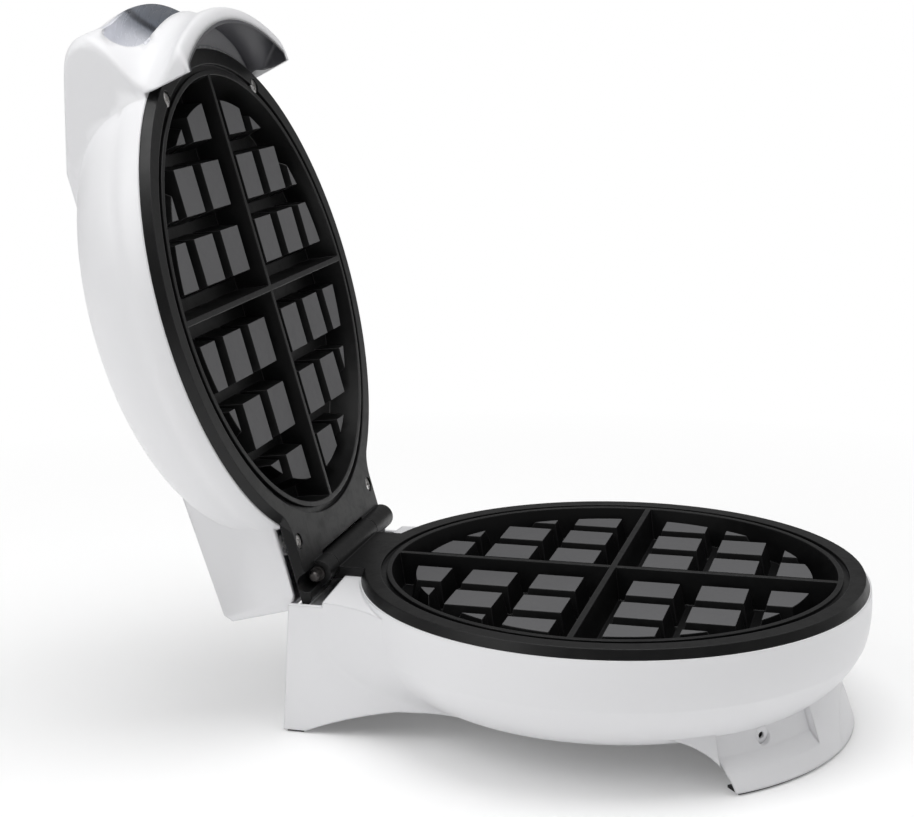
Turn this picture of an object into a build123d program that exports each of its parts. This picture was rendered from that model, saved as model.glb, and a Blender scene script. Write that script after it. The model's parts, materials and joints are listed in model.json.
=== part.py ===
from build123d import *
import os
from math import asin, atan2, cos, degrees, radians, sin, sqrt, tan

# Belgian waffle maker, standing with its lid open. Millimetres.
# Every piece is drawn with the lid shut: X runs along the hinge, -Y is the front, +Z is up,
# the bowl's axis is at x = y = 0, and the two grid plates meet at z = 0.

# Grid plates
waffle_r = 89.0
ring_w = 2.0
ring_groove_w = 2.4
ring_groove_depth = 1.6
rim_r = 100.2
rim_edge_in = 1.6
rim_t = 3.9
plate_gap = 0.4
cavity_depth = 13.0
plate_floor_t = 3.2
plate_wall = 1.5
plate_skirt_draft = 9.0
cavity_draft = 11.5
divider_w = 2.2
divider_draft = 8.0
peg_w = 18.2
peg_pitch = 26.8
peg_first = 19.0
pegs_per_side = 3
peg_drop = 2.4
peg_clip_r = 78.3

# Hinge
hinge_y = 111.0
barrel_r = 5.2
pin_r = 2.0
pin_clearance = 0.05
pin_clip_r = 2.9
pin_clip_t = 0.9
pin_end_play = 0.3
pin_tail = 4.5
pin_blind = 4.0
knuckle_inner_x = 26.2
knuckle_near_x = -37.0
knuckle_far_x = 49.4
knuckle_gap = 0.5
tongue_half_w = 49.6
tongue_foot_w = 51.4
tongue_root_r = 14.0
heel_len = 9.0
swing_gap = 0.9
open_angle = 105.66

# Base housing
wall = 2.4
lip_r = 100.8
belly_r = 101.3
belly_z = 11.0
turn_r = 99.6
turn_z = 23.5
under_r = 90.6
under_z = 36.6
bottom_r = 68.0
bottom_z = 46.0
height = 60.0
pad_t = 1.0
block_half_w = 55.0
block_sweep_r = 50.0
sweep_bite = 0.1
block_rear_y = 117.3
block_rear_lean = 3.2
block_sections = ((0.0, 100.6), (10.0, 101.0), (22.0, 99.8), (34.0, 92.9), (44.0, 78.2), (60.0, 66.0))
deck_y = 103.4
deck_flat_x = 28.0
deck_edge_z = 5.8
side_top_z = 7.8
rear_top_z = 12.0
notch_floor_z = 14.0
leg_len = 9.0
side_arch_mid = (95.0, 52.9)
side_arch_end = (74.0, 47.8)
rear_arch_half_w = 34.0
rear_arch_h = 9.0

# Front feet
skirt_top_r = 85.4
skirt_top_z = 29.0
skirt_r = 96.2
skirt_wall = 10.0
foot_rear_y = -58.9
foot_arch_mid = (-51.0, 47.0)
foot_arch_end = (-33.0, 38.0)
front_arch_half_w = 23.0
front_arch_h = 15.0
recess_from = 35.0
recess_to = 66.0
recess_lip_z = 52.0
recess_ledge_z = 47.0
recess_depth = 2.6
foot_screw_angle = 49.0
foot_screw_z = 43.0

# Lid housing
lid_belly_z = 8.0
lid_turn_r = 99.8
lid_turn_z = 15.0
lid_over_r = 90.6
lid_over_z = 34.2
lid_cap_r = 68.0
lid_cap_z = 43.6
lid_top_z = 46.0
side_clearance = 0.4
lid_block_low_z = 6.5
lid_block_low_y = 114.7
lid_block_rear_y = 120.0
lid_block_rear_z = 9.6
lid_block_rear_top_z = 38.0
lid_block_slope = 0.05
lid_block_lean = 0.06
lid_rear_round = 3.0

# Front of the lid: visor, bar and lip. Each level has its height, its half width, and how far its sides
# and its front reach past the bowl
handle_levels = ((-14.3, 55.8, -10.9, 7.7), (-4.0, 57.0, -13.3, 12.2), (4.0, 57.5, -14.8, 14.7),
                 (10.0, 58.0, -6.3, 18.7), (16.0, 58.0, 3.7, 21.7), (20.0, 58.0, 8.2, 22.4),
                 (24.0, 58.0, 9.7, 21.3), (28.0, 58.0, 9.2, 17.3), (32.0, 58.0, 5.2, 11.2),
                 (37.0, 58.0, -4.3, 0.7), (43.6, 58.0, -18.3, -13.3))
handle_low_z = handle_levels[0][0]
handle_rear_y = -50.0
handle_top_y = -63.0
handle_top_z = 44.0
handle_top_slope = 0.298
handle_wall = 2.6
grip_top_z = 4.8
bowl_clearance = 0.9
visor_edge_in = (17.1, 13.3)
liner_t = 1.4
handle_corner_r = 7.0
pocket_reach = 16.7
pocket_z = 14.0
pocket_half_h = 7.5
pocket_depth = 11.0
pocket_tilt = 45.0
pocket_turn_r = 150.0
pocket_half_w = 44.5
pocket_end_step = 0.1
pocket_lap = 1.0

# Fasteners, feet and wiring
screw_r = 1.75
screw_head_r = 3.0
screw_head_t = 1.5
screw_sink = 1.7
screw_len = 11.0
hole_gap = 0.15
boss_r = 4.2
lid_screw_rear = (45.4, 95.2)
lid_screw_front = (46.7, -81.0)
base_screw = (52.0, 48.0)
stem_len = 9.0
element_r = 3.3
element_ring_r = 60.0
element_opening = 36.0
element_leg = 12.0
clip_angles = (20.0, 160.0, 200.0, 340.0)
clip_gap = 0.2
clip_w = 9.0
clip_t = 0.8
clip_foot = 5.0
reflector_r = 80.0
reflector_t = 0.8
reflector_rim = 5.0
thermostat_r = 8.0
thermostat_h = 7.0
fuse_r = 2.6
fuse_len = 26.0
fuse_y = 26.0
terminal_size = (26.0, 10.0, 12.0)
terminal_y = 50.0
gland_r = 6.0
gland_bore_r = 3.7
gland_flange_r = 8.0
gland_flange_t = 1.8
gland_z = 31.0
gland_tail = 9.0
lens_x = 24.0
lens_z = 15.5
lens_r = 3.2
lens_reach = 5.9
lens_len = 5.6
lamp_r = 2.8
lamp_len = 9.0
pad_inset = 1.2
leg_post = 12.0
foot_screw_seat = 1.5
foot_screw_len = 5.0
nut_h = 2.4

half_gap = plate_gap / 2
plate_under = half_gap + cavity_depth + plate_floor_t
dish_out_r = waffle_r + ring_w / 2 + plate_wall
reflector_z = plate_under + stem_len
bowl_floor_z = bottom_z - wall
skirt_taper = (skirt_r - skirt_top_r) / (height - pad_t - skirt_top_z)
lid_block_half_w = block_half_w - wall - side_clearance
pocket_y = -belly_r - pocket_reach
lens_front_y = -belly_r - lens_reach
far = 200.0


def outline(start, *legs):
    """Face in X and Y from start. A leg of one point is a line, of two points an arc through the first."""
    edges = []
    here = start
    for leg in legs:
        edges.append(Line(here, leg[0]) if len(leg) == 1 else ThreePointArc(here, *leg))
        here = leg[-1]
    edges.append(Line(here, start))
    face = Face(Wire([edge.edge() for edge in edges]))
    return face if face.normal_at().Z > 0 else -face


def spun(face):
    """Full turn about Z of a face drawn in X and Z."""
    return revolve(Plane.XZ * face, Axis.Z)


def along_x(face, half_w):
    """Face drawn in Y and Z, drawn out to both sides along X."""
    return extrude(Plane.YZ * face, half_w, both=True)


def along_y(face, low_y, high_y):
    """Face drawn in X and Z, from low_y to high_y."""
    return extrude(Plane.XZ.offset(-low_y) * face, low_y - high_y)


def box(x, y, z):
    """Box from ranges along X, Y and Z."""
    size = [side[1] - side[0] for side in (x, y, z)]
    middle = [(side[1] + side[0]) / 2 for side in (x, y, z)]
    return Pos(*middle) * Box(*size)


def rod(x, y, r, z0, z1):
    return Pos(x, y, (z0 + z1) / 2) * Cylinder(r, z1 - z0)


def x_rod(r, x0, x1, y, z=0.0):
    return Pos((x0 + x1) / 2, y, z) * Rot(0, 90, 0) * Cylinder(r, x1 - x0)


def y_rod(r, x, y0, y1, z):
    return Pos(x, (y0 + y1) / 2, z) * Rot(90, 0, 0) * Cylinder(r, y1 - y0)


def mirror_x(solid):
    return mirror(solid, Plane.YZ)


def four(x, y):
    return [(sx * x, sy * y) for sx in (-1, 1) for sy in (-1, 1)]


def pair(x, y):
    return [(-x, y), (x, y)]


# Grid plates, drawn as the lower one


def dish():
    top, low, under = -half_gap, -half_gap - cavity_depth, -plate_under
    ring_out, ring_in = waffle_r + ring_w / 2, waffle_r - ring_w / 2
    foot_r = ring_in - cavity_depth * tan(radians(cavity_draft))
    groove_low = top - ring_groove_depth
    skirt_out = dish_out_r - (plate_under - rim_t) * tan(radians(plate_skirt_draft))
    return spun(outline(
        (0, under), ((skirt_out, under),), ((dish_out_r, -rim_t),), ((rim_r, -rim_t),),
        ((rim_r - rim_edge_in, top),), ((ring_out + ring_groove_w, top),), ((ring_out + ring_groove_w, groove_low),),
        ((ring_out, groove_low),), ((ring_out, top),), ((ring_in, top),), ((foot_r, low),), ((0, low),)))


def peg(x, y):
    spread = 2 * (cavity_depth - peg_drop) * tan(radians(cavity_draft))
    top = Plane((x, y, -half_gap - peg_drop)) * Rectangle(peg_w, peg_w)
    foot = Plane((x, y, -half_gap - cavity_depth)) * Rectangle(peg_w + spread, peg_w + spread)
    return loft([foot, top])


def pegs():
    rise = cavity_depth - peg_drop
    foot_clip = peg_clip_r + rise * tan(radians(cavity_draft))
    clip = Pos(0, 0, -half_gap - cavity_depth + rise / 2) * Cone(foot_clip, peg_clip_r, rise)
    places = [peg_first + k * peg_pitch for k in range(pegs_per_side)]
    field = []
    for px in places:
        for py in places:
            if sqrt((px - peg_w / 2) ** 2 + (py - peg_w / 2) ** 2) < peg_clip_r:
                field += [peg(x, y) & clip for x, y in four(px, py)]
    return field


def divider(turn):
    foot_half = divider_w / 2 + cavity_depth * tan(radians(divider_draft))
    low, top = -half_gap - cavity_depth, -half_gap
    section = outline((-foot_half, low), ((foot_half, low),), ((divider_w / 2, top),), ((-divider_w / 2, top),))
    return Rot(0, 0, turn) * along_y(section, -waffle_r, waffle_r)


def grid():
    plate = dish().fuse(divider(0), divider(90), *pegs())
    for x, y in four(*base_screw):
        plate += rod(x, y, boss_r, -reflector_z, -plate_under)
        plate -= rod(x, y, screw_r, -reflector_z, -plate_under)
    return plate


def lower_grid_plate():
    inner_x = knuckle_inner_x - knuckle_gap
    plate = grid() + x_rod(barrel_r, -inner_x, inner_x, hinge_y)
    neck = box((-inner_x, inner_x), (waffle_r + ring_w + ring_groove_w, hinge_y), (-rim_t, -half_gap))
    neck += box((-inner_x, inner_x), (deck_y + swing_gap, hinge_y), (-barrel_r, -half_gap))
    plate += neck
    plate -= x_rod(pin_r, -inner_x, inner_x, hinge_y)
    return plate


def tongue_root():
    """Hollow corners that lead from the rim into the tongue's sides."""
    reach = rim_r - rim_edge_in
    cx = tongue_half_w + tongue_root_r
    cy = sqrt((reach + tongue_root_r) ** 2 - cx ** 2)
    tx, ty = cx * reach / (reach + tongue_root_r), cy * reach / (reach + tongue_root_r)
    middle = radians((180 + degrees(atan2(ty - cy, tx - cx)) % 360) / 2)
    mx, my = cx + tongue_root_r * cos(middle), cy + tongue_root_r * sin(middle)
    plan = outline((tongue_half_w, cy), ((mx, my), (tx, ty)), ((0, ty),), ((0, cy),))
    root = extrude(Plane((0, 0, half_gap)) * plan, rim_t - half_gap)
    return root + mirror_x(root)


def tongue():
    """Flat tongue from the lid plate's rim back past the hinge, with its two knuckles."""
    x0 = knuckle_inner_x
    rear_y = hinge_y + heel_len
    section = outline((-tongue_half_w, half_gap), ((tongue_half_w, half_gap),), ((tongue_foot_w, rim_t),),
                      ((-tongue_foot_w, rim_t),))
    slab = along_y(section, waffle_r - ring_w, rear_y) + tongue_root()
    slab -= box((-x0, x0), (hinge_y - barrel_r - swing_gap, rear_y), (-far, far))
    heel = box((-far, far), (rear_y - rim_t, rear_y), (0, rim_t))
    slab -= heel - x_rod(rim_t, -far, far, rear_y - rim_t, rim_t)
    slab += x_rod(barrel_r, x0, knuckle_far_x, hinge_y) + x_rod(barrel_r, knuckle_near_x, -x0, hinge_y)
    slab -= x_rod(pin_clip_r + swing_gap, -tongue_foot_w, knuckle_near_x, hinge_y)
    return slab - rod(0, 0, waffle_r + ring_w + ring_groove_w, -far, far)


def plate_screw_hole(x, y):
    sunk = rod(x, y, screw_head_r + hole_gap, 0, half_gap + screw_sink)
    return sunk + rod(x, y, screw_r + hole_gap, 0, plate_under)


def upper_grid_plate():
    plate = mirror(grid(), Plane.XY) + tongue()
    plate -= x_rod(pin_r + pin_clearance, knuckle_near_x, knuckle_far_x - pin_blind, hinge_y)
    for x, y in pair(*lid_screw_rear) + pair(*lid_screw_front):
        plate -= plate_screw_hole(x, y)
    return plate


# Base housing


def bowl(inset=0.0, top=rim_t):
    side = lip_r - inset
    return spun(outline(
        (0, -bottom_z + inset), ((bottom_r, -bottom_z + inset),),
        ((under_r - 0.7 * inset, -under_z + 0.7 * inset), (turn_r - inset, -turn_z + 0.2 * inset)),
        ((belly_r - inset, -belly_z), (side, -rim_t)), ((side, -top),), ((0, -top),)) if top < rim_t else outline(
        (0, -bottom_z + inset), ((bottom_r, -bottom_z + inset),),
        ((under_r - 0.7 * inset, -under_z + 0.7 * inset), (turn_r - inset, -turn_z + 0.2 * inset)),
        ((belly_r - inset, -belly_z), (side, -rim_t)), ((0, -rim_t),)))


def sweep_plan(bowl_r, inset):
    """Plan of the hollow sweep that carries one side wall of the rear block out into a bowl of bowl_r."""
    half_w, sweep_r, reach = block_half_w - inset, block_sweep_r + inset, bowl_r - inset
    cx = half_w + sweep_r - sweep_bite
    cy = sqrt((reach + sweep_r) ** 2 - cx ** 2)
    tx, ty = cx * reach / (reach + sweep_r), cy * reach / (reach + sweep_r)
    middle = radians((180 + degrees(atan2(ty - cy, tx - cx)) % 360) / 2)
    mx, my = cx + sweep_r * cos(middle), cy + sweep_r * sin(middle)
    return outline((cx - sweep_r, cy), ((mx, my), (tx, ty)), ((half_w / 2, half_w / 2),), ((half_w / 2, cy),))


def sweep(inset):
    """Straight walls of the rear block, with their sweeps."""
    half_w = block_half_w - inset
    side = loft([Plane((0, 0, -z)) * sweep_plan(bowl_r, inset) for z, bowl_r in reversed(block_sections)])
    return box((-half_w, half_w), (0, far), (-height, 0)) + side + mirror_x(side)


def deck_top():
    """Keeps the block below its deck, which falls away from the neck to the sides."""
    slope = (deck_edge_z - rim_t) / (block_half_w - deck_flat_x)
    low = rim_t + slope * (far - deck_flat_x)
    return along_y(outline((-far, -height), ((far, -height),), ((far, -low),), ((deck_flat_x, -rim_t),),
                           ((-deck_flat_x, -rim_t),), ((-far, -low),)), 0, far)


def block():
    foot_z = -height + pad_t
    rear = block_rear_y + block_rear_lean
    toe = (rear - leg_len, foot_z)
    arch_end = (side_arch_end[0], -side_arch_end[1])
    side = outline((bottom_r / 2, -rim_t), ((deck_y, -rim_t),), ((deck_y, -side_top_z),), ((block_rear_y, -side_top_z),),
                   ((rear, foot_z),), (toe,), ((side_arch_mid[0], -side_arch_mid[1]), arch_end),
                   ((bottom_r / 2, -bottom_z),))
    low, high = (-rear_arch_half_w, foot_z), (rear_arch_half_w, foot_z)
    arch = along_y(outline(low, ((0, foot_z + rear_arch_h), high)), deck_y, far)
    return (sweep(0) & along_x(side, far) & deck_top()) - arch


def block_hollow():
    rear, shelf = block_rear_y - wall, -notch_floor_z - wall
    lean = block_rear_lean * (height - pad_t + shelf) / (height - pad_t)
    ceiling = -deck_edge_z - wall
    side = outline((bottom_r / 2, ceiling), ((deck_y - wall, ceiling),), ((deck_y - wall, shelf),),
                   ((rear, shelf),), ((rear + lean, -height),), ((bottom_r / 2, -height),))
    hollow = sweep(wall) & along_x(side, far)
    post_y = block_rear_y + block_rear_lean - leg_post
    post = box((block_half_w - leg_post, far), (post_y, far), (-height, -height + pad_t + leg_post))
    return hollow - post - mirror_x(post) - bowl()


def gland_seat_y():
    """Flat seat for the gland's flange in the leaning rear wall."""
    lean = block_rear_lean * (gland_z - gland_flange_r - side_top_z) / (height - pad_t - side_top_z)
    return block_rear_y + lean - hole_gap


def hinge_well():
    half_w = block_half_w - wall
    well = box((-half_w, half_w), (deck_y, block_rear_y - wall), (-notch_floor_z, 0))
    return well + box((-half_w, half_w), (deck_y, far), (-rear_top_z, 0))


def foot_skirt():
    foot_z = -height + pad_t
    ring = spun(outline((skirt_top_r, -skirt_top_z), ((skirt_r, foot_z),), ((skirt_r - skirt_wall, foot_z),),
                        ((skirt_top_r - skirt_wall, -skirt_top_z),)))
    arch_end = (foot_arch_end[0], -foot_arch_end[1])
    keep = outline((foot_rear_y, foot_z), ((foot_arch_mid[0], -foot_arch_mid[1]), arch_end),
                   ((-far, -foot_arch_end[1]),), ((-far, foot_z),))
    low, high = (-front_arch_half_w, foot_z), (front_arch_half_w, foot_z)
    arch = along_y(outline(low, ((0, foot_z + front_arch_h), high)), -far, 0)
    return (ring & along_x(keep, far)) - arch


def foot_recess():
    """Shallow panel in the outer face of the left front foot."""
    def skirt_at(z):
        return skirt_top_r + (z - skirt_top_z) * skirt_taper
    lip = (skirt_at(recess_lip_z), -recess_lip_z)
    floor_low = (skirt_at(recess_ledge_z) - recess_depth, -recess_ledge_z)
    floor_high = (skirt_top_r - recess_depth, -skirt_top_z)
    section = outline(lip, (floor_low,), (floor_high,), ((skirt_top_r + skirt_wall, -skirt_top_z),),
                      ((skirt_r + skirt_wall, -recess_lip_z),))
    return Rot(0, 0, 180 + recess_from) * revolve(Plane.XZ * section, Axis.Z, recess_to - recess_from)


def foot_screw_axis():
    return Rot(0, 0, 180 + foot_screw_angle) * Pos(skirt_top_r, 0, -foot_screw_z) * Rot(0, -90, 0)


def base_housing():
    recess = foot_recess()
    feet = foot_skirt() - recess - mirror_x(recess)
    bore = rod(0, 0, screw_r, foot_screw_seat, foot_screw_seat + foot_screw_len)
    bore = foot_screw_axis() * (bore + rod(0, 0, screw_head_r + hole_gap, -skirt_wall, foot_screw_seat))
    body = bowl() + block() + feet - bore - mirror_x(bore)
    body -= bowl(wall, 0) + block_hollow() + hinge_well()
    body -= y_rod(gland_r, 0, block_rear_y - 2 * wall, far, -gland_z)
    body -= y_rod(gland_flange_r + hole_gap, 0, gland_seat_y(), far, -gland_z)
    for x, y in four(*base_screw):
        body += rod(x, y, boss_r, -bottom_z, -reflector_z - reflector_t)
        body -= rod(x, y, screw_r + hole_gap, -bottom_z, -reflector_z - reflector_t)
        body -= rod(x, y, screw_head_r + hole_gap, -bottom_z, -bottom_z + screw_sink)
    return body


# Lid housing


def crown_at(r):
    """Height of the dome's crown, a cap of a sphere on the bowl's axis."""
    rise = lid_top_z - lid_cap_z
    ball = (lid_cap_r ** 2 + rise ** 2) / (2 * rise)
    return lid_top_z - ball + sqrt(ball ** 2 - r ** 2)


def dome(inset=0.0, low=rim_t):
    side = lip_r - inset
    start = (0, low)
    legs = [((side, low),)] if low < rim_t else []
    return spun(outline(
        start, *legs, ((side, rim_t),), ((belly_r - inset, lid_belly_z), (lid_turn_r - inset, lid_turn_z - 0.2 * inset)),
        ((lid_over_r - 0.7 * inset, lid_over_z - 0.7 * inset), (lid_cap_r, lid_cap_z - inset)),
        ((lid_cap_r / 2, crown_at(lid_cap_r / 2) - inset), (0, lid_top_z - inset))))


def lid_block(inset=0.0):
    rear, top = lid_block_rear_y - inset, lid_block_rear_top_z - inset
    low = lid_block_low_z if inset == 0 else 0
    rear_low = lid_block_rear_z if inset == 0 else 0
    turn_y = lid_block_low_y if inset == 0 else rear - inset
    front_y = bottom_r / 2
    side = outline((front_y, low), ((turn_y, low),), ((rear, rear_low),), ((rear, top - lid_rear_round),),
                   ((rear - lid_rear_round, top),), ((front_y, top + (rear - front_y) * lid_block_slope),))
    half_w = lid_block_half_w - inset
    tilt = lid_block_lean * lid_top_z
    front = outline((-half_w, 0), ((half_w, 0),), ((half_w - tilt, lid_top_z),), ((-half_w + tilt, lid_top_z),))
    return along_x(side, far) & along_y(front, 0, far)


def handle_plan(half_w, side_y, front_y, corner_r):
    """Level of the lid's front: two straight sides, a curved front and a round corner at each end of it."""
    sag = side_y - front_y
    front_r = (half_w ** 2 + sag ** 2) / (2 * sag)
    centre_y = front_y + front_r
    corner_x = half_w - corner_r
    corner_y = centre_y - sqrt((front_r - corner_r) ** 2 - corner_x ** 2)
    turn = atan2(corner_y - centre_y, corner_x)
    end_x, end_y = front_r * cos(turn), centre_y + front_r * sin(turn)
    mid_x, mid_y = corner_x + corner_r * cos(turn / 2), corner_y + corner_r * sin(turn / 2)
    return outline((-half_w, handle_rear_y), ((-half_w, corner_y),), ((-mid_x, mid_y), (-end_x, end_y)),
                   ((0, front_y), (end_x, end_y)), ((mid_x, mid_y), (half_w, corner_y)), ((half_w, handle_rear_y),))


def handle_form(inset=0.0):
    return loft([Plane((0, 0, z)) * handle_plan(half_w - inset, -belly_r - side, inset - belly_r - front,
                                                handle_corner_r - inset)
                 for z, half_w, side, front in handle_levels])


def handle_top(inset=0.0):
    def height_at(y):
        return handle_top_z - inset + (y - handle_top_y) * handle_top_slope
    return along_x(outline((0, height_at(0)), ((-far, height_at(-far)),), ((-far, far),), ((0, far),)), far)


def handle_body():
    return handle_form() - handle_top()


def pocket(grow=0.0, mouth=-far):
    """Middle of the thumb pocket under the lip, over the bar: a hollow that follows the front's curve."""
    turn = degrees(asin(pocket_half_w / pocket_turn_r))
    profile = Ellipse(pocket_half_h + grow, pocket_depth + grow) & (Pos(0, mouth + far) * Rectangle(far, 2 * far))
    section = Pos(0, -pocket_turn_r, pocket_z) * (Plane.YZ * (Rot(0, 0, -pocket_tilt) * profile))
    tube = revolve(Rot(0, 0, -turn) * section, Axis.Z, 2 * turn)
    return Pos(0, pocket_y + pocket_turn_r, 0) * tube


def pocket_end(side):
    """Round end of the thumb pocket."""
    turn = side * degrees(asin(pocket_half_w / pocket_turn_r))
    high, deep = pocket_half_h - pocket_end_step, pocket_depth - pocket_end_step
    ball = Rot(-pocket_tilt, 0, 0) * scale(Sphere(1), by=(high, high, deep))
    return Pos(0, pocket_y + pocket_turn_r, 0) * Rot(0, 0, turn) * Pos(0, -pocket_turn_r, pocket_z) * ball


def grip_hollow(inset):
    """Space behind the front wall of the handle, open below, in front of the bowl."""
    form = handle_form(handle_wall + inset) & box((-far, far), (-far, 0), (handle_low_z, grip_top_z - inset))
    return form - rod(0, 0, belly_r + bowl_clearance, handle_low_z, grip_top_z)


def visor_trim():
    """Behind the slanted side edges of the visor, below the rim."""
    high_y, low_y = (inside - belly_r for inside in visor_edge_in)
    low = handle_low_z - liner_t
    return along_x(outline((low_y, low), ((0, low),), ((0, rim_t),), ((high_y, rim_t),)), far)


def lid_housing():
    body = dome() + lid_block() + handle_body()
    body -= dome(wall, 0) + lid_block(wall)
    body -= rod(0, 0, belly_r + bowl_clearance, handle_low_z, rim_t)
    body -= visor_trim()
    body -= grip_hollow(0)
    body -= pocket()
    body -= pocket_end(-1)
    body -= pocket_end(1)
    body -= pocket(liner_t, -pocket_lap)
    for x in (-lens_x, lens_x):
        body -= y_rod(lens_r, x, lens_front_y, -lid_cap_r, lens_z)
    inside = dome() + lid_block()
    for x, y in pair(*lid_screw_rear) + pair(*lid_screw_front):
        post = rod(x, y, boss_r, rim_t, lid_top_z) & inside
        body += post - rod(0, 0, dish_out_r + hole_gap, rim_t, plate_under)
        body -= rod(x, y, screw_r, rim_t, rim_t + screw_len)
    return body


def grip_liner():
    return grip_hollow(0) - grip_hollow(liner_t) - visor_trim()


def lens_pair():
    lens = y_rod(lens_r, lens_x, lens_front_y, lens_front_y + lens_len, lens_z)
    return lens + mirror_x(lens)


def lamp_pair():
    rear = lens_front_y + lens_len
    lamp = y_rod(lamp_r, lens_x, rear, rear + lamp_len, lens_z)
    return lamp + mirror_x(lamp)


def pocket_liner():
    """Skin of the thumb pocket, behind its mouth."""
    skin = (pocket(liner_t, -pocket_lap) - pocket()) & handle_body()
    for x in (-lens_x, lens_x):
        skin -= y_rod(lens_r, x, -far, 0, lens_z)
    return skin


# Heating parts, drawn under the lower plate


def element():
    """Rod bent to an open ring against the plate, with two legs through the reflector."""
    z = -plate_under - element_r
    section = Plane.XZ * (Pos(element_ring_r, z) * Circle(element_r))
    ring = Rot(0, 0, 90 + element_opening / 2) * revolve(section, Axis.Z, 360 - element_opening)
    for x, y in element_ends():
        ring += Pos(x, y, z) * Sphere(element_r) + rod(x, y, element_r, z - element_leg, z)
    return ring


def element_ends():
    half = radians(element_opening / 2)
    return pair(element_ring_r * sin(half), element_ring_r * cos(half))


def element_clips():
    """Sheet straps that hold the element against the plate."""
    top = -plate_under
    low = top - 2 * element_r - clip_gap
    inner = element_r + clip_gap
    outer = inner + clip_t
    strap = outline((-outer - clip_foot, top), ((-outer - clip_foot, top - clip_t),), ((-outer, top - clip_t),),
                    ((-outer, low - clip_t),), ((outer, low - clip_t),), ((outer, top - clip_t),),
                    ((outer + clip_foot, top - clip_t),), ((outer + clip_foot, top),), ((inner, top),),
                    ((inner, low),), ((-inner, low),), ((-inner, top),))
    clip = Pos(element_ring_r, 0, 0) * along_y(strap, -clip_w / 2, clip_w / 2)
    return Compound([Rot(0, 0, angle) * clip for angle in clip_angles])


def reflector():
    """Pressed tray that throws the heat back at the plate."""
    low = -reflector_z - reflector_t
    tray = spun(outline((0, low), ((reflector_r, low),), ((reflector_r + reflector_rim, low + reflector_rim),),
                        ((reflector_r + reflector_rim - reflector_t, low + reflector_rim),),
                        ((reflector_r - reflector_t / 2, -reflector_z),), ((0, -reflector_z),)))
    for x, y in four(*base_screw):
        tray -= rod(x, y, screw_r + hole_gap, low, -reflector_z)
    for x, y in element_ends():
        tray -= rod(x, y, element_r + 1, low, -reflector_z)
    return tray


def thermostat():
    """Cap on the underside of the plate, with its flange and two tabs."""
    top = -plate_under
    body = rod(0, 0, thermostat_r, top - thermostat_h, top)
    body += rod(0, 0, thermostat_r + 2, top - thermostat_h / 3, top)
    for x in (-thermostat_r / 2, thermostat_r / 2):
        body += box((x - 2, x + 2), (0, thermostat_r + 6), (top - thermostat_h, top - thermostat_h + clip_t))
    return body


def thermal_fuse():
    """Fuse body in a saddle on the underside of the plate."""
    top = -plate_under
    fuse = x_rod(fuse_r, -fuse_len / 2, fuse_len / 2, -fuse_y, top - fuse_r)
    return fuse + box((-fuse_len / 4, fuse_len / 4), (-fuse_y - fuse_r, -fuse_y + fuse_r), (top - fuse_r, top))


# Fasteners and small parts


def screw(length):
    """Pan-head screw along Z, seat at z = 0, shank upward, with a cross recess."""
    head = rod(0, 0, screw_head_r, -screw_head_t, 0)
    head = fillet(head.edges().sort_by(Axis.Z)[0], screw_head_t / 2)
    slot = box((-screw_r, screw_r), (-0.4, 0.4), (-screw_head_t, -screw_head_t / 2))
    return head + rod(0, 0, screw_r, 0, length) - slot - Rot(0, 0, 90) * slot


def base_screws():
    seat = -bottom_z + screw_sink
    length = -plate_under - seat - hole_gap
    return Compound([Pos(x, y, seat) * screw(length) for x, y in four(*base_screw)])


def plate_screws():
    seat = half_gap + screw_sink
    places = pair(*lid_screw_rear) + pair(*lid_screw_front)
    length = rim_t + screw_len - seat
    return Compound([Pos(x, y, seat) * screw(length) for x, y in places])


def reflector_screws():
    """Screws from the far side of the lid's reflector into the plate's stems."""
    length = reflector_t + stem_len - hole_gap
    return Compound([Pos(x, y, -reflector_z - reflector_t) * screw(length) for x, y in four(*base_screw)])


def foot_screws():
    driven = foot_screw_axis() * Pos(0, 0, foot_screw_seat) * screw(foot_screw_len)
    return Compound([driven, mirror_x(driven)])


def hinge_pin():
    near = knuckle_near_x - pin_end_play - pin_clip_t - pin_tail
    pin = x_rod(pin_r, near, knuckle_far_x - pin_blind - pin_end_play, hinge_y)
    return chamfer(pin.edges().filter_by(GeomType.CIRCLE), pin_r / 4)


def pin_clip():
    """Spring clip on the pin's open end."""
    x1 = knuckle_near_x - pin_end_play
    clip = x_rod(pin_clip_r, x1 - pin_clip_t, x1, hinge_y) - x_rod(pin_r, x1 - pin_clip_t, x1, hinge_y)
    return clip - box((x1 - pin_clip_t, x1), (hinge_y, hinge_y + pin_clip_r), (-pin_r / 2, pin_r / 2))


def cord_gland():
    seat = gland_seat_y()
    body = y_rod(gland_r, 0, seat - gland_tail, seat, -gland_z)
    body += y_rod(gland_flange_r, 0, seat, seat + gland_flange_t, -gland_z)
    return body - y_rod(gland_bore_r, 0, seat - gland_tail, seat + gland_flange_t, -gland_z)


def terminal_block():
    w, d, h = terminal_size
    block_body = box((-w / 2, w / 2), (terminal_y - d / 2, terminal_y + d / 2), (-bowl_floor_z, -bowl_floor_z + h))
    for k in (-1, 0, 1):
        block_body -= rod(k * w / 3, terminal_y, screw_r, -bowl_floor_z + h / 2, -bowl_floor_z + h)
    return block_body


def rear_foot_pads():
    rear = block_rear_y + block_rear_lean
    pad = box((block_half_w - leg_post + pad_inset, block_half_w - pad_inset),
              (rear - leg_len + pad_inset, rear - pad_inset), (-height, -height + pad_t))
    return pad + mirror_x(pad)


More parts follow.
